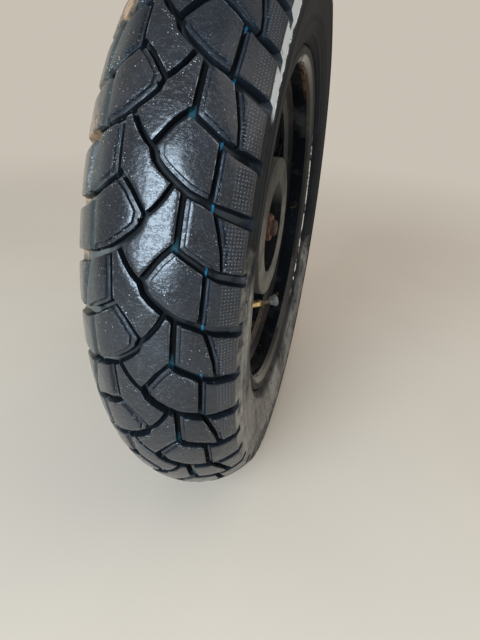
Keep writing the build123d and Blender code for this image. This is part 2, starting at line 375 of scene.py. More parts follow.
def slidePoints(run, angle, chosen, held, legs, goal, most):
    # Moves the chosen points to where their distance from the legs is the goal, by most at
    # the most. A held point keeps its run, and slides only round the wheel
    startRun, startAngle = run, angle
    for _ in range(tyre["slidePasses"]):
        distance, away, _ = legDistance(run, angle, legs)
        short = np.where(chosen, goal - distance, 0)
        alongOnly = np.where(np.abs(away[..., 1]) > tyre["heldSlope"], 1 / (away[..., 1] + tiny), 0)
        run = run + np.where(held, 0, short * away[..., 0])
        angle = angle + short * np.where(held, alongOnly, away[..., 1]) / section(run)[0]
    run = startRun + np.clip(run - startRun, -most, most)
    angle = startAngle + np.clip(angle - startAngle, -most / tyreRadius, most / tyreRadius)
    return run, angle


def besideEdge(mask):
    # Where one of a point's eight neighbours is on the other side of the mask's edge
    found = np.zeros_like(mask)
    padded = np.pad(mask, ((1, 1), (0, 0)), mode="edge")
    for step in (0, 1, 2):
        for turn in (-1, 0, 1):
            found |= np.roll(padded, turn, 1)[step:step + len(mask)] != mask
    return found


def wrapped(grid):
    # The grid with its first column once more at its end
    return np.hstack([grid, grid[:, :1]])


def quadCorners(grid):
    # The values at the four corners of each quad, in order
    return grid[:-1, :-1], grid[1:, :-1], grid[1:, 1:], grid[:-1, 1:]


def meshPiece(name, points, corners, size):
    # A mesh from points and the corner numbers of faces that all have the same count
    mesh = bpy.data.meshes.new(name)
    mesh.vertices.add(points.size // 3)
    mesh.vertices.foreach_set("co", points.reshape(-1).astype(np.float32))
    mesh.loops.add(corners.size)
    mesh.loops.foreach_set("vertex_index", corners.reshape(-1).astype(np.int32))
    mesh.polygons.add(corners.size // size)
    mesh.polygons.foreach_set("loop_start", np.arange(0, corners.size, size, dtype=np.int32))
    mesh.update(calc_edges=True)
    mesh.validate()
    piece = bpy.data.objects.new(name, mesh)
    bpy.context.scene.collection.objects.link(piece)
    return piece


def gridMesh(name, points, closed=False):
    # A grid of quads through points[i, j], joined end to end along j where closed
    index = np.arange(points.size // 3).reshape(points.shape[:2])
    if closed:
        index = wrapped(index)
    return meshPiece(name, points, np.stack(quadCorners(index), -1), 4)


def triangleMesh(name, points, turned):
    # A grid of triangles: each quad is cut from its first corner, or from the next where turned
    a, b, c, d = quadCorners(np.arange(points.size // 3).reshape(points.shape[:2]))
    plain = np.stack([a, b, c, a, c, d], -1)
    other = np.stack([a, b, d, b, c, d], -1)
    return meshPiece(name, points, np.where(turned[..., None], other, plain), 3)


def paintAttribute(piece, name, values):
    layer = piece.data.attributes.new(name, "FLOAT", "POINT")
    layer.data.foreach_set("value", np.asarray(values, np.float32).reshape(-1))


def smoothMesh(piece, sharpAngle):
    piece.data.shade_smooth()
    piece.data.set_sharp_from_angle(angle=math.radians(sharpAngle))


def placeOnWheel(radius, out, angle):
    # A point at a radius and an angle up from straight back, and so far to the right
    return np.stack([-radius * np.cos(angle), wheelY - out, radius * np.sin(angle)], -1)


def treadGrid():
    # One pitch of the tread as a grid of run and angle, with its points moved onto the
    # banks and ledges, so that every edge of a block is one clean line
    half = np.concatenate([np.linspace(0, edgeLength, tyre["crownRows"] + 1),
                           edgeLength + np.linspace(0, tyre["skirt"], tyre["skirtRows"] + 1)[1:]])
    runs = np.concatenate([-half[:0:-1], half])
    angles = math.radians(tyre["patternStart"]) + np.arange(tyre["columns"]) * pitchAngle / tyre["columns"]
    run, angle = np.meshgrid(runs, angles, indexing="ij")
    cell = edgeLength / tyre["crownRows"]
    near = 0.1 * cell
    held = np.abs(np.abs(run) - edgeLength) < near  # the tread's edge keeps its line
    held |= np.abs(run) > edgeLength + tyre["skirt"] - near  # and so does the skirt's end
    banks, ledges = grooveLegs(), ledgeLegs()

    distance, _, _ = legDistance(run, angle, banks)
    lower = distance < -0.5 * tyre["wall"]
    beside = besideEdge(lower)
    run, angle = slidePoints(run, angle, beside, held, banks,
                             np.where(lower, -tyre["wall"], 0.0), tyre["slideMost"] * cell)
    lip, _, _ = legDistance(run, angle, ledges)
    onLedge = (lip < -0.5 * tyre["ledgeWall"]) & ~lower
    besideLedge = besideEdge(onLedge) & ~lower & ~beside
    run, angle = slidePoints(run, angle, besideLedge, held, ledges,
                             np.where(onLedge, -tyre["ledgeWall"], 0.0), tyre["ledgeSlideMost"] * cell)

    # Depth: full in a groove, less on a ledge, and a little along an edge, where it dies away
    # as an exponential of the distance. It runs out in a straight line below the tread's edge
    distance, _, kind = legDistance(run, angle, banks)
    lip, _, _ = legDistance(run, angle, ledges)
    fade = np.clip(1 - (np.abs(run) - edgeLength - tyre["fadeFrom"]) / tyre["fadeLength"], 0, 1)
    fromBank = np.maximum(distance, 0)
    outside = np.where(onLedge, fromBank, np.minimum(fromBank, np.maximum(lip, 0)))
    soft = tyre["edgeSoft"] * np.exp(-outside / tyre["edgeReach"])
    depth = np.where(lower, tyre["depth"], np.where(onLedge, tyre["ledgeDepth"], 0.0) + soft) * fade

    # The quads beside an odd corner are cut between its two neighbours
    turned = False
    for mask in (onLedge | lower, lower):
        a, b, c, d = (corner.astype(int) for corner in quadCorners(wrapped(mask)))
        odd = (a + b + c + d) % 2 == 1
        turned = np.where(odd, b == d, turned)
    layers = {"groove": lower * fade, "ledge": onLedge * fade, "across": run, "bank": distance, "long": kind}
    return run, angle, depth, layers, turned


def repeat(values, step=0.0):
    # A pitch's columns again and again round the wheel, with the first one once more. Each
    # pitch has its values larger by the step
    many = values[:, None, :] + step * np.arange(tyre["pitches"] + 1)[None, :, None]
    return many.reshape(len(values), -1)


def treadPieces():
    run, angle, depth, layers, turned = treadGrid()
    radius, out, normalRadius, normalOut = section(run)
    angles = repeat(angle, pitchAngle)
    points = placeOnWheel(repeat(radius - depth * normalRadius), repeat(out - depth * normalOut), angles)
    layers = {name: repeat(values) for name, values in layers.items()}
    layers["along"] = angles
    cuts = repeat(turned) > 0.5
    pieces = []
    share = tyre["pitches"] * tyre["columns"] // tyre["sectors"]
    for sector in range(tyre["sectors"]):
        part = slice(sector * share, (sector + 1) * share + 1)
        piece = triangleMesh("tyreTread" + str(sector + 1), points[:, part], cuts[:, part][:, :-1])
        for name, values in layers.items():
            paintAttribute(piece, name, values[:, part])
        smoothMesh(piece, tyre["sharpAngle"])
        pieces.append(piece)
    return pieces


sideRelief = {
    "rows": 62,
    "columns": 720,
    "rings": [(214.5 * mm, 0.45 * mm, 0.8 * mm),  # radius, height, half width
              (206.0 * mm, 0.55 * mm, 0.9 * mm),
              (185.5 * mm, 0.5 * mm, 0.8 * mm),
              (178.5 * mm, 0.5 * mm, 0.8 * mm),
              (171.0 * mm, 0.9 * mm, 1.3 * mm)],
    "ribs": 180,
    "ribBand": (179.5 * mm, 184.5 * mm),
    "ribHeight": 0.35 * mm,
    "sharpAngle": 35,
}


def sidewallPieces():
    # Each side from the tread's skirt down to the foot and in under the rim's edge, with
    # thin raised rings and a band of fine radial ribs. A ring is a bell curve of the radius,
    # and the ribs are a cosine of the angle
    made = []
    angles = np.linspace(0, 2 * math.pi, sideRelief["columns"], endpoint=False)
    runs = np.linspace(edgeLength + tyre["skirt"], edgeLength + sideLength, sideRelief["rows"])
    low, high = sideRelief["ribBand"]
    for side, name in ((1, "tyreSideRight"), (-1, "tyreSideLeft")):
        radius, out, _, _ = section(side * runs)
        relief = sum(height * np.exp(-((radius - place) / width) ** 2)
                     for place, height, width in sideRelief["rings"])
        inBand = (radius > low) & (radius < high)
        ribs = sideRelief["ribHeight"] * inBand[:, None] * (0.5 + 0.5 * np.cos(sideRelief["ribs"] * angles))
        out = out[:, None] + side * (relief[:, None] + ribs)
        radius = np.append(radius, tyre["tuck"][0])
        out = np.vstack([out, np.full(len(angles), side * tyre["tuck"][1])])
        points = placeOnWheel(radius[:, None], out, angles)
        if side < 0:
            points = points[::-1]
        piece = gridMesh(name, points, closed=True)
        smoothMesh(piece, sideRelief["sharpAngle"])
        made.append(piece)
    return made


treads = treadPieces()
sides = sidewallPieces()
print("Tyre made,", sum(len(piece.data.polygons) for piece in treads), "tread triangles")


# A finish is built from masks. In a mask's settings two numbers are where it begins and is
# full, three are its low and high end and how soft they are, and five are patches of noise:
# scale, detail and roughness, and the values where they begin and are full. Their name says
# what they are read from, and "by" is the mask's strength. Four numbers shift something: the
# noise's first three, and how far it reaches

rubber = {
    "black": (0.0040, 0.0058, 0.0086),
    "worn": (0.0076, 0.0102, 0.0142),
    "wornPatches": (38, 5, 0.6, 0.35, 0.7),
    "dust": (0.365, 0.340, 0.305),
}
sideDust = {
    "least": 0.20,
    "cover": {"patches": (21, 7, 0.66, 0.34, 0.64), "by": 0.50},
    "rings": (520, 4, 0.65, 0.65),
    "ringTurn": 0.0006,           # metres that count as a degree in them
    "grain": (160, 4, 0.6, 0.5),
    "ragged": (22, 6, 0.7, 60),   # degrees
    # these take dust off as painted shade: over a stretch of the turn, a little further on, and at the foot
    # by the rim
    "paintedShadow": {"angle": (9, 208, 7), "by": 0.96},
    "paintedShadowLess": {"left": (-5 * mm, 5 * mm), "by": 0.62},  # on the left side
    "shaded": {"angle": (208, 252, 8), "by": 0.2},
    "foot": {"radius": (172 * mm, 166.5 * mm), "by": 0.8},
    "edge": 205 * mm,             # the dust's outer edge on the right side
    "edgeRise": {"angle": (-64, -42), "by": 26 * mm},
    "edgeRagged": (48, 6, 0.7, 34 * mm),
    "scallops": 2,                # in one pitch of the tread
    "scallopDepth": 1.6 * mm,
    "outer": {"past": (-4 * mm, 3 * mm), "left": (0.0, -5 * mm), "by": 0.7},
    "smudges": {"patches": (75, 4, 0.6, 0.58, 0.68), "by": 0.7},
}
# painted sunlight: a whitish band where light falls on the dusty side
paintedSunlight = {
    "colour": (0.62, 0.63, 0.63),
    "ragged": (70, 5, 0.7, 9 * mm),
    "band": {"radius": (215.0 * mm, 226.5 * mm, 0.5 * mm), "angle": (35, 60, 1.5), "left": (0.0, -1 * mm),
             "patches": (120, 4, 0.6, 0.3, 0.42), "by": 0.9},
}


def blackRubber(shader):
    return shader.mix(shader.patches(*rubber["wornPatches"]), rubber["black"], rubber["worn"])


def dustOnSide(shader):
    # How dusty the side of the tyre is: patches and rubbed rings, with almost no dust over a stretch of the
    # turn, less a little further on and less at the foot by the rim, each of these painted shade. On the
    # right side the dust ends at a ragged line with faint scallops
    look = sideDust
    radius, angle = shader.read["radius"], shader.read["angle"]
    polar = shader.node("ShaderNodeCombineXYZ", {}, {0: radius, 1: angle * look["ringTurn"]})
    dust = look["least"] + shader.mask(look["cover"])
    dust = dust + shader.shift(*look["rings"], polar) + shader.shift(*look["grain"])
    ragged = shader.countedOn(angle + shader.shift(*look["ragged"]))
    # Almost no dust over a stretch of the turn, less so on the left side, and less a little further on:
    # painted shade
    paintedShadow = shader.mask(look["paintedShadow"], angle=ragged) * (1 - shader.mask(look["paintedShadowLess"]))
    shaded = shader.mask(look["shaded"], angle=ragged)
    scallop = (angle * (math.pi / 180 * look["scallops"] * tyre["pitches"])).math("COSINE")
    limit = look["edge"] + shader.mask(look["edgeRise"]) + look["scallopDepth"] * scallop
    outer = shader.mask(look["outer"], past=radius - (limit + shader.shift(*look["edgeRagged"])))
    # Less dust at the foot by the rim as well: painted shade in the gap under the rim's edge
    clean = (1 - paintedShadow) * (1 - shaded) * (1 - shader.mask(look["foot"])) * (1 - outer)
    return (dust * clean * (1 - shader.mask(look["smudges"]))).math("MAXIMUM", 0.0)


def paintedSunlightBand(shader):
    # A ragged whitish band on the right side, near the tread: painted sunlight falling on the dust there
    return shader.mask(paintedSunlight["band"], radius=shader.read["radius"] + shader.shift(*paintedSunlight["ragged"]))


# The tread's attributes: groove is 1 on a groove's floor and ledge on a ledge, across is the
# run from the crown, negative on the left, along the angle round the wheel in radians, bank
# the distance from the nearest groove's bank, negative inside it, and long is 1 by a long one.
# A mask named offCrown is read from the run's size
treadLook = {
    "sunken": {"groove": (0.3, 0.6)},
    "side": {"offCrown": (edgeLength + 0.1 * mm, edgeLength + 1.9 * mm)},
    # the grooves' black, a little darker than the blocks' as painted shade
    "grooveBlackAndShade": (0.0036, 0.0044, 0.0052),
    "dirt": {"colour": (0.034, 0.035, 0.035), "bank": (-1.5 * mm, -2.3 * mm),
             "patches": (55, 4, 0.55, 0.34, 0.6), "by": 0.75},
    "leftDirt": {"colour": (0.088, 0.088, 0.080), "across": (-16 * mm, -30 * mm), "angle": (60, 46),
                 "patches": (45, 5, 0.55, 0.32, 0.52), "bank": (-0.9 * mm, -1.4 * mm), "by": 0.85},
    "notchEnd": {"bank": (1.0 * mm, 0.2 * mm), "offCrown": (edgeLength + 8.5 * mm, edgeLength + 7 * mm),
                 "by": 0.97},
    "film": (0.103, 0.107, 0.090),
    "filmEdge": {"across": (16 * mm - edgeLength, 3 * mm - edgeLength),
                 "patches": (60, 5, 0.65, 0.26, 0.56), "angle": (-8, 66, 6)},
    "filmEdgeBy": 0.5,
    "filmBlocks": {"across": (34 * mm - edgeLength, 24 * mm - edgeLength), "angle": (-30, 75, 12),
                   "by": 0.24},
    "brown": {"colour": (0.150, 0.122, 0.090), "across": (14 * mm - edgeLength, 5 * mm - edgeLength),
              "angle": (-14, 66, 6), "patches": (60, 5, 0.65, 0.20, 0.50), "by": 0.7},
    # pale bluish lines on the blocks' edges: wear, and painted highlight
    "edgeWearAndHighlight": {"colour": (0.19, 0.205, 0.22), "bank": (-0.05 * mm, 0.45 * mm, 0.18 * mm),
              "patches": (150, 4, 0.6, 0.46, 0.60), "patchesWide": (21, 3, 0.55, 0.44, 0.60),
              "offCrown": (42 * mm, 36 * mm), "by": 0.55},
    "edgeWearAndHighlightOffLedge": 0.8,
    "speck": (0.50, 0.49, 0.46),
    "specks": {"cell": (0.25, 0.19), "patches": (24, 3, 0.55, 0.43, 0.57)},
    "specksAt": 330,
    "specksBent": (90, 3),        # scale and detail of a noise
    "specksBentBy": 0.3,
    # fine pale specks along the blocks' edges: dust, and painted sparkle of light
    "edgeSpecksAndSparkle": {"cell": (0.25, 0.15), "bank": (0.5 * mm, 2.6 * mm, 0.5 * mm),
                   "patches": (33, 3, 0.55, 0.53, 0.62)},
    "edgeSpecksAndSparkleAt": 760,
    "specksBy": 0.75,
    "mud": (0.310, 0.185, 0.100),
    "mudRagged": (40, 5, 0.65, 14),  # degrees
    "mudLeanFrom": 47,            # degrees
    "mudLean": -0.0012,           # how far in the splash lies, metres for a degree
    "mudSplash": {"across": (-37 * mm, -43 * mm), "angle": (45.5, 60, 1.5)},
    "mudStrips": [{"across": (-58 * mm, -60.5 * mm), "angle": (8, 46, 4), "by": 0.65},
                  {"across": (-42 * mm, -48 * mm), "angle": (27.5, 31, 1), "by": 0.7}],
    "mudPatches": (95, 5, 0.65, 0.40, 0.54),
    "crumbs": {"cell": (0.14, 0.08), "angle": (20, 60, 8), "across": (-15 * mm, -30 * mm), "by": 0.7},
    "crumbsAt": 260,
    "stripe": {"colour": (0.012, 0.125, 0.22), "off": (0.975 * mm, 0.675 * mm), "groove": (0.4, 0.6),
               "bank": (-0.5 * mm, -1.0 * mm), "patches": (420, 2, 0.55, 0.38, 0.52), "by": 0.85},
    "stripeOut": 35.8 * mm,       # out from the middle
    "glint": {"colour": (0.015, 0.085, 0.11), "off": (2.6 * mm, 1.2 * mm), "share": (0.82, 0.95, 0.02),
              "groove": (0.3, 0.7), "by": 0.42},
    "glintOut": 17.5 * mm,
    "dotColour": (0.070, 0.078, 0.088),
    "dotPitch": 2.3 * mm,
    "dots": {"fromDot": (0.34, 0.16), "offCrown": (runOf(42.6 * mm), edgeLength - 1.2 * mm, 1.5 * mm),
             "bank": (0.2 * mm, 0.9 * mm)},
    "dotsBy": 0.45,
    "dry": (20, 5, 0.6, 0.42, 0.68),
    "ledgeSunk": 0.5,
    "rough": {"least": 0.12, "dry": 0.13, "sunk": 0.30, "side": 0.40, "film": 0.22},
    "coat": 0.06,
    "coatLow": {"angle": (-12, 42, 7), "by": 0.26},
    "dullGroove": {"groove": (0.01, 0.16), "by": 0.96},
    "dullTop": {"angle": (38, 150, 8), "by": 0.55},
    "dullFinish": (0.6, 0.05),    # roughness and specular level
    "skin": [(560, 0.36, (1, 0.45, 1)),  # ripples: scale, share, stretch
             (300, 0.36, None),   # pits
             (120, 0.9, None),    # a soft swell
             (1500, 0.06, None)],  # a fine grain
    "creaseNoise": (330, 3, 0.6),
    "creaseStretch": (1.2, 0.4, 1.2),
    "creases": {"fromHalf": (0.0, 0.030), "by": 0.16},
    "dropsAt": 400,
    "drops": {"cell": (0.36, 0.04), "patches": (27, 4, 0.6, 0.50, 0.60), "bank": (12 * mm, 3 * mm),
              "by": 0.40},
    "dotsHigh": 0.40,
    "skinHeight": 0.66 * mm,
}


def treadRubber():
    look = treadLook
    shader = Shader("treadRubber", IOR=1.42, Coat_Roughness=0.09)
    shader.readWheel()
    groove, ledge, across, along, bank, long = (
        shader.attribute(name) for name in ("groove", "ledge", "across", "along", "bank", "long"))
    shader.read.update(groove=groove, across=across, offCrown=abs(across), bank=bank)
    onTop = 1 - shader.mask(look["sunken"])
    onSide = shader.mask(look["side"])

    # Grooves: wet and black, a little darker than the blocks as painted shade in them, with dirt along the
    # middle of the long ones, and more on the left
    colour = shader.mix(groove, blackRubber(shader), look["grooveBlackAndShade"])
    colour = shader.layer(colour, look["dirt"], long)
    colour = shader.layer(colour, look["leftDirt"])

    # The side's dust and its painted sunlit band reach up to the tread, but not into a groove's open end
    bare = onSide * (1 - shader.mask(look["notchEnd"]))
    colour = shader.mix(bare * dustOnSide(shader) * onTop, colour, rubber["dust"])
    colour = shader.mix(bare * paintedSunlightBand(shader), colour, paintedSunlight["colour"])

    # Left half: a grey film on the blocks, and a brown one by the tread's edge
    leftEdge = shader.mask(look["filmEdge"]) * onTop
    film = (leftEdge * look["filmEdgeBy"]).math("MAXIMUM", shader.mask(look["filmBlocks"]) * onTop)
    colour = shader.mix(film, colour, look["film"])
    colour = shader.layer(colour, look["brown"])
    # Pale bluish lines along the blocks' edges: wear, and painted highlight where the edges catch the light
    colour = shader.layer(colour, look["edgeWearAndHighlight"], 1 - ledge * look["edgeWearAndHighlightOffLedge"])

    # Pale specks: small ones of dust in clusters, and finer ones along the blocks' edges, which are dust and
    # painted sparkle of light
    cell = shader.cells(look["specksAt"]) + shader.noise(*look["specksBent"]) * look["specksBentBy"]
    specks = shader.mask(look["specks"], cell=cell) * onTop
    edgeSpecksAndSparkle = shader.mask(look["edgeSpecksAndSparkle"], cell=shader.cells(look["edgeSpecksAndSparkleAt"])) * onTop
    colour = shader.mix(specks.math("MAXIMUM", edgeSpecksAndSparkle) * look["specksBy"], colour, look["speck"])

    # Mud: a splash and two strips on the left shoulder, and a few crumbs
    muddy = shader.read["angle"] + shader.shift(*look["mudRagged"])
    leaning = across + (muddy - look["mudLeanFrom"]) * look["mudLean"]
    mud = shader.mask(look["mudSplash"], across=leaning, angle=muddy)
    for strip in look["mudStrips"]:
        mud = mud.math("MAXIMUM", shader.mask(strip))
    crumbs = shader.mask(look["crumbs"], cell=shader.cells(look["crumbsAt"]))
    mud = (mud * shader.patches(*look["mudPatches"])).math("MAXIMUM", crumbs)
    colour = shader.mix(mud, colour, look["mud"])

    # Paint left in the grooves: a thin broken blue line round the tyre, and a teal spot a pitch
    colour = shader.layer(colour, look["stripe"], long, off=abs(across - runOf(look["stripeOut"])))
    share = (along * (1 / pitchAngle)).math("FRACT")
    colour = shader.layer(colour, look["glint"], off=abs(across - runOf(look["glintOut"])), share=share)

    # Fine dots in rows on the shoulder blocks
    row = (across * (1 / look["dotPitch"])).math("FRACT") - 0.5
    column = (along * (tyreRadius / look["dotPitch"])).math("FRACT") - 0.5
    dots = shader.mask(look["dots"], fromDot=(row * row + column * column).math("SQRT")) * onTop
    colour = shader.mix(dots * look["dotsBy"], colour, look["dotColour"])

    # Gloss: wet blocks, drier in patches, and dull grooves, sides and top
    rough = look["rough"]
    sunk = groove.math("MAXIMUM", ledge * look["ledgeSunk"])
    roughness = rough["least"] + rough["dry"] * shader.patches(*look["dry"]) + rough["sunk"] * sunk
    roughness = roughness + rough["side"] * onSide + rough["film"] * leftEdge
    coat = (look["coat"] + shader.mask(look["coatLow"])) * (1 - sunk) * (1 - onSide)
    shader.wear(Base_Color=colour, Roughness=roughness, Coat_Weight=coat)
    dull = shader.mask(look["dullGroove"]).math("MAXIMUM", onSide)
    shader.dullWhere(dull.math("MAXIMUM", shader.mask(look["dullTop"])), colour, *look["dullFinish"])

    # Skin: ripples, pits, swell and grain, thin creases across the tyre, and drops of water
    creases = shader.noise(*look["creaseNoise"], stretch=look["creaseStretch"])
    height = shader.mask(look["creases"], fromHalf=abs(creases - 0.5))
    for scale, part, stretch in look["skin"]:
        height = height + shader.noise(scale, 2, 0.5, stretch=stretch) * part
    drops = shader.mask(look["drops"], cell=shader.cells(look["dropsAt"])) * onTop
    shader.bump(height + dots * look["dotsHigh"] + drops, 1.0, look["skinHeight"])
    return shader.material


sidewallLook = {
    "marksAt": 95,
    "marks": {"colour": rubber["black"], "cell": (0.13, 0.09), "patches": (11, 2, 0.55, 0.5, 0.56),
              "by": 0.9},
    "bend": (60.0, 3.0, 12 * mm),  # scale and detail of the noise, and its reach
    "cracksAt": 34,
    "cracks": {"colour": rubber["black"], "cell": (0.022, 0.010), "patches": (19, 3, 0.55, 0.55, 0.60),
               "by": 0.85},
    "rough": (0.58, 0.30),        # without dust, and what the dust adds
    "skin": [(1100, 3, 0.4), (150, 3, 0.6)],  # scale, detail, share
    "bump": (0.5, 0.5 * mm),      # strength and distance
}


def sidewallRubber():
    look = sidewallLook
    shader = Shader("sidewallRubber", IOR=1.5, Specular_IOR_Level=0.04)
    shader.readWheel()
    dust = dustOnSide(shader)
    colour = shader.mix(dust, blackRubber(shader), rubber["dust"])
    # The painted sunlit band over the dust
    colour = shader.mix(paintedSunlightBand(shader), colour, paintedSunlight["colour"])
    colour = shader.layer(colour, look["marks"], cell=shader.cells(look["marksAt"]))

    # Thin cracks along the edges of large cells, which a coloured noise bends
    scale, detail, reach = look["bend"]
    bend = shader.node("ShaderNodeTexNoise", {},
                       {"Vector": shader.place, "Scale": scale, "Detail": detail}, "Color")
    bend = shader.node("ShaderNodeVectorMath", {"operation": "SCALE"}, {0: bend, "Scale": reach})
    bent = shader.node("ShaderNodeVectorMath", {"operation": "ADD"}, {0: shader.place, 1: bend})
    cell = shader.cells(look["cracksAt"], "DISTANCE_TO_EDGE", bent)
    colour = shader.layer(colour, look["cracks"], cell=cell)
    least, dusty = look["rough"]
    shader.wear(Base_Color=colour, Roughness=least + dusty * dust)
    shader.bump(shader.noises(look["skin"]), *look["bump"])
    return shader.material


treadSkin, sideSkin = treadRubber(), sidewallRubber()
for piece in treads + sides:
    piece.data.materials.append(treadSkin if piece in treads else sideSkin)
    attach(piece, "wheel")
    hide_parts("tyre")


# Finishes of the pieces that keep their shape

castingLook = {
    "paint": (0.0040, 0.0050, 0.0066),
    "grime": (0.195, 0.186, 0.163),
    "hubFace": {"left": (-29.5 * mm, -31.0 * mm), "radius": (72 * mm, 70 * mm)},
    "hubWall": {"radius": (66 * mm, 69 * mm, 1 * mm), "by": 0.4},
    "hubLeast": 0.34,
    "hubDirt": {"patches": (34, 6, 0.6, 0.25, 0.75), "by": 0.66},
    # less grime, so darker, towards the top
    "hubDarkerUp": {"up": (5 * mm, 60 * mm), "by": 0.5},
    "recess": {"radius": (36 * mm, 45.5 * mm, 0.5 * mm), "left": (-9 * mm, -14 * mm)},
    "recessLeast": 0.04,
    # paler up high and dark below: painted light on the upper wall and painted shade inside, over real dust
    "recessDustLightAndShade": {"up": (8 * mm, 40 * mm), "by": 0.62},
    "film": {"patches": (30, 6, 0.62, 0.48, 0.80), "by": 0.16},
    "rust": (0.165, 0.090, 0.045),
    "spots": {"patches": (70, 5, 0.65, 0.64, 0.74), "radius": (120 * mm, 150 * mm), "by": 0.5},
    "valveStreak": {"angle": (-120, -94, 3), "left": (-18 * mm, -16.4 * mm, 0.7 * mm)},
    "highStreak": {"angle": (100, 128, 4), "left": (-39 * mm, -35 * mm, 1.5 * mm), "by": 0.75},
    "streakBreaks": {"radius": (126 * mm, 132 * mm), "patches": (130, 5, 0.65, 0.38, 0.56), "by": 0.9},
    # pale dashes on the rim's edge: chips, and painted highlight on the lip
    "chipsAndGlints": {"colour": (0.72, 0.68, 0.60), "patches": (85, 4, 0.6, 0.46, 0.52), "angle": (158, 226, 6),
              "radius": (154.2 * mm, 155.2 * mm), "left": (-38.5 * mm, -40 * mm)},
    "dull": {"dirty": (0.04, 0.22)},
    "rimEdge": {"radius": (153 * mm, 156 * mm)},
    "rimEdgeRough": 0.55,
    "rough": (0.18, 0.55),        # clean, and what the dirt adds
    "coat": 0.38,
    "skin": [(240, 3, 0.7), (900, 2, 0.3)],  # scale, detail, share
    "bump": (0.15, 0.4 * mm),     # strength and distance
}


def castingPaint():
    look = castingLook
    shader = Shader("blackCasting", IOR=1.5, Specular_IOR_Level=0.10, Coat_Roughness=0.07)
    shader.readWheel()

    # Dirt: dusty on the hub's face, darker towards the top, in the recess, where it is paler up high and dark
    # below as painted light on the upper wall and painted shade inside, and a thin film
    hubDirt = (look["hubLeast"] + shader.mask(look["hubDirt"])) * (1 - shader.mask(look["hubDarkerUp"]))
    recessDustLightAndShade = look["recessLeast"] + shader.mask(look["recessDustLightAndShade"])
    grime = (shader.mask(look["hubFace"]) * hubDirt).math("MAXIMUM", shader.mask(look["recess"]) * recessDustLightAndShade)
    grime = grime.math("MAXIMUM", shader.mask(look["film"]) + shader.mask(look["hubWall"]))
    colour = shader.mix(grime, look["paint"], look["grime"])

    # Rust: spots on the barrel, one streak beside the valve and one high up by the rim's edge
    streaks = shader.mask(look["valveStreak"]) + shader.mask(look["highStreak"])
    rust = shader.mask(look["spots"]).math("MAXIMUM", streaks * shader.mask(look["streakBreaks"]))
    colour = shader.mix(rust, colour, look["rust"])

    # Chips along the rim's right edge, which show the bare metal in dashes, and stand as a painted highlight
    # on the lip's edge as well
    chipsAndGlints = shader.mask(look["chipsAndGlints"], angle=shader.countedOn(shader.read["angle"]))
    colour = shader.mix(chipsAndGlints, colour, look["chipsAndGlints"]["colour"])
    dull = shader.mask(look["dull"], dirty=grime + rust + chipsAndGlints)
    rimEdge = shader.mask(look["rimEdge"])
    clean, dirty = look["rough"]
    rough = (clean + dirty * dull).math("MAXIMUM", rimEdge * look["rimEdgeRough"])
    shader.wear(Base_Color=colour, Roughness=rough, Coat_Weight=look["coat"] * (1 - dull) * (1 - rimEdge))
    shader.bump(shader.noises(look["skin"]), *look["bump"])
    return shader.material


steelLooks = {
    "axle": {"name": "axleSteel", "amount": 0.22,
             "steel": (0.085, 0.070, 0.060), "rust": (0.045, 0.021, 0.013)},
    "axle_nut": {"name": "rustyNut", "amount": 0.2,
                 "steel": (0.13, 0.090, 0.075), "rust": (0.105, 0.030, 0.020)},
}


def rustySteel(name, amount, steel, rust):
    # The more rust there is, the less metallic and the rougher the steel is
    shader = Shader(name)
    patches = shader.patches(180, 6, 0.65, 0.5 - amount, 0.75 - amount)
    colour = shader.mix(patches, steel, rust)
    shader.wear(Base_Color=colour, Metallic=0.8 - patches * 0.75, Roughness=0.4 + patches * 0.45)
    shader.bump(shader.noise(900, 5), 0.5, 0.5 * mm)
    return shader.material


plainLooks = {
    "brake_drum_liner": {"name": "drumIron", "first": (0.22, 0.21, 0.20), "second": (0.14, 0.10, 0.08),
                         "roughness": 0.35, "metallic": 0.9},
    "bearing_outer_right": {"name": "bearingSteel", "first": (0.42, 0.42, 0.42), "second": (0.25, 0.2, 0.16),
                            "roughness": 0.3, "metallic": 0.9},
    "valve_grommet": {"name": "grommetRubber", "first": (0.02, 0.02, 0.02), "second": (0.06, 0.058, 0.055),
                      "roughness": 0.6},
    "valve_cap": {"name": "dustyCap", "first": (0.07, 0.07, 0.068), "second": (0.24, 0.23, 0.21),
                  "roughness": 0.6, "scale": 220, "bump": 0.3},
}


def plainFinish(name, first, second, roughness, metallic=0.0, scale=120, bump=0.15):
    # Two tones in patches, and a grain six times finer than they are
    shader = Shader(name, Metallic=metallic)
    mask = shader.patches(scale, 5, 0.55, 0.35, 0.7)
    shader.wear(Base_Color=shader.mix(mask, first, second), Roughness=roughness + 0.15 * mask)
    shader.bump(shader.noise(scale * 6, 3), bump, 0.4 * mm)
    return shader.material


brassLook = {
    "bright": (0.80, 0.60, 0.27),
    "tarnish": (0.55, 0.38, 0.16),
    "tarnishPatches": (260, 5, 0.55, 0.42, 0.72),
    "neck": (0.05, 0.045, 0.04),
    "neckFrom": (-16.2 * mm, -17.2 * mm),  # left of the middle plane
    "neckBy": 0.9,
}


def valveBrass():
    # Bright brass on the body, dull and dark on the thin neck beyond it
    look = brassLook
    shader = Shader("valveBrass", IOR=1.5)
    _, left, _ = shader.axes()
    neck = shader.step(left, *look["neckFrom"])
    tarnish = shader.patches(*look["tarnishPatches"])
    colour = shader.mix(tarnish, look["bright"], look["tarnish"])
    colour = shader.mix(neck * look["neckBy"], colour, look["neck"])
    shader.wear(Base_Color=colour, Metallic=1 - neck * 0.6, Roughness=0.25 + 0.18 * tarnish + 0.2 * neck)
    shader.bump(shader.noise(1400, 3), 0.15, 0.3 * mm)
    return shader.material


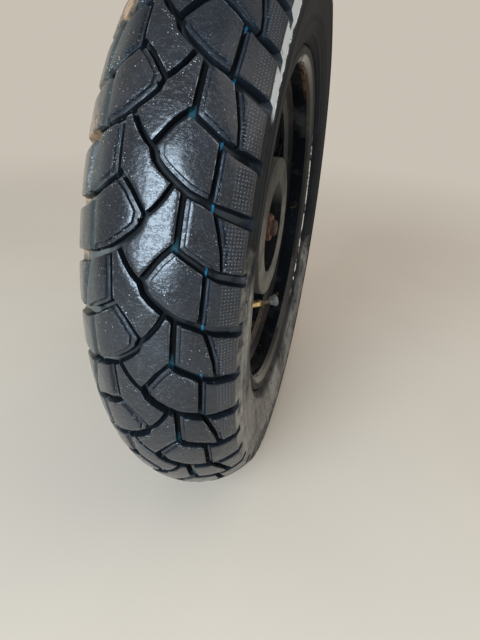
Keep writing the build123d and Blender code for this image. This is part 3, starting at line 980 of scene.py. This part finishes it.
finishes = {
    "wheel_casting": castingPaint(),
    "valve_stem": valveBrass(),
    **{node: rustySteel(**look) for node, look in steelLooks.items()},
    **{node: plainFinish(**look) for node, look in plainLooks.items()},
}
sameAs = {
    "bearing_outer_left": "bearing_outer_right",
    "bearing_inner_right": "bearing_outer_right",
    "bearing_inner_left": "bearing_outer_right",
    "bearing_spacer": "axle",
    "axle_washer": "axle_nut",
}
finishes.update({node: finishes[like] for node, like in sameAs.items()})
for node, material in finishes.items():
    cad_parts[node].data.materials.clear()
    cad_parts[node].data.materials.append(material)
print("Finishes set")


# Floor, light and camera

stageSizes = {
    "floorHalf": 8.0,
    "floorColour": (0.590, 0.490, 0.388),
    "floorShade": 0.95,           # of that colour in its darker patches
    "floorPatches": (3, 4, 0.55, 0.3, 0.7),
    "paleColour": (0.575, 0.528, 0.455),  # of the floor far off and of the background
    "pale": (0.5, 1.8),           # metres from the wheel
    "worldColour": (0.93, 0.97, 1.0),
    "worldStrength": 0.42,
}


def seenRays(tree):
    # 1 for what the camera sees, directly, in a glossy surface or through a clear one
    path = tree.nodes.new("ShaderNodeLightPath")
    seen = path.outputs["Is Camera Ray"]
    for ray in ("Is Transmission Ray", "Is Glossy Ray"):
        either = tree.nodes.new("ShaderNodeMath")
        either.operation = "MAXIMUM"
        tree.links.new(seen, either.inputs[0])
        tree.links.new(path.outputs[ray], either.inputs[1])
        seen = either.outputs[0]
    return seen


def floorPiece():
    steps = np.linspace(-stageSizes["floorHalf"], stageSizes["floorHalf"], 3)
    x, y = np.meshgrid(steps, steps, indexing="ij")
    floor = gridMesh("floor", np.stack([x, y, np.full_like(x, -tyreRadius)], -1))
    shader = Shader("paleFloor", Roughness=0.6)
    shade = shader.patches(*stageSizes["floorPatches"])
    bright = stageSizes["floorColour"]
    dark = tuple(stageSizes["floorShade"] * channel for channel in bright)
    shader.wear(Base_Color=shader.mix(shade, bright, dark))
    # Far from the wheel the floor is seen as evenly pale, and near it keeps its shadows
    forward, left, _ = shader.axes()
    far = shader.step((forward * forward + left * left).math("SQRT"), *stageSizes["pale"])
    glow = shader.node("ShaderNodeEmission", {}, {"Color": (*stageSizes["paleColour"], 1), "Strength": 1.0})
    shader.cover(far * Value(shader, seenRays(shader.tree)), glow)
    floor.data.materials.append(shader.material)


tyreBack = (-0.24, wheelY, 0.06)
wheelMiddle = (0, wheelY, 0)
lamps = {
    "windowBehind": {"place": (-2.2, 0.22, 0.76), "aim": tyreBack, "size": (1.30, 1.80), "power": 94,
                     "colour": (0.66, 0.83, 1.0)},
    "windowGlow": {"place": (-2.25, 0.30, 0.66), "aim": tyreBack, "size": (2.4, 1.9), "power": 50,
                   "colour": (0.66, 0.83, 1.0)},
    "softTop": {"place": (-0.3, 0.2, 2.7), "aim": wheelMiddle, "size": (3.4, 3.4), "power": 6,
                "colour": (1.0, 0.95, 0.88)},
    "rightFill": {"place": (0.2, -2.0, 2.0), "aim": wheelMiddle, "size": (2.6, 2.6), "power": 20,
                  "colour": (1.0, 0.93, 0.84)},
}


def areaLight(name, place, aim, size, power, colour):
    data = bpy.data.lights.new(name, "AREA")
    data.shape = "RECTANGLE"
    data.size, data.size_y = size
    data.energy = power
    data.color = colour
    light = bpy.data.objects.new(name, data)
    bpy.context.scene.collection.objects.link(light)
    light.location = place
    light.rotation_euler = (Vector(aim) - Vector(place)).to_track_quat("-Z", "Y").to_euler()


def makeWorld():
    # Even light from all round, seen as the same pale tone as the far floor
    world = bpy.data.worlds.new("studio")
    bpy.context.scene.world = world
    world.use_nodes = True
    tree = world.node_tree
    sky = tree.nodes["Background"]
    sky.inputs["Color"].default_value = (*stageSizes["worldColour"], 1)
    sky.inputs["Strength"].default_value = stageSizes["worldStrength"]
    pale = tree.nodes.new("ShaderNodeBackground")
    pale.inputs["Color"].default_value = (*stageSizes["paleColour"], 1)
    both = tree.nodes.new("ShaderNodeMixShader")
    tree.links.new(seenRays(tree), both.inputs[0])
    tree.links.new(sky.outputs[0], both.inputs[1])
    tree.links.new(pale.outputs[0], both.inputs[2])
    tree.links.new(both.outputs[0], tree.nodes["World Output"].inputs["Surface"])


# The camera stands close behind the wheel, a little to its right, and looks down
cameraSizes = {
    "place": (-0.4806, -0.1081, 0.1607),  # from the wheel's middle
    "right": (0.245, -0.9678, 0.0581),
    "down": (-0.4573, -0.1682, -0.8733),
    "focalPixels": 501.4,
    "imageHeight": 640,
    "sensor": 36.0,
    "clipStart": 0.02,
}


def makeCamera():
    data = bpy.data.cameras.new("camera")
    data.sensor_width = cameraSizes["sensor"]
    data.lens = cameraSizes["focalPixels"] / cameraSizes["imageHeight"] * cameraSizes["sensor"]
    data.clip_start = cameraSizes["clipStart"]
    camera = bpy.data.objects.new("camera", data)
    bpy.context.scene.collection.objects.link(camera)
    right = Vector(cameraSizes["right"]).normalized()
    up = -Vector(cameraSizes["down"])
    up = (up - up.dot(right) * right).normalized()
    place = Vector(cameraSizes["place"]) + Vector((0, wheelY, 0))
    turn = Matrix((right, up, right.cross(up))).transposed().to_4x4()
    camera.matrix_world = Matrix.Translation(place) @ turn
    bpy.context.scene.camera = camera


floorPiece()
for name, lamp in lamps.items():
    areaLight(name, **lamp)
makeWorld()
makeCamera()
scene = bpy.context.scene
scene.view_settings.view_transform = "Standard"

print("Scene ready")
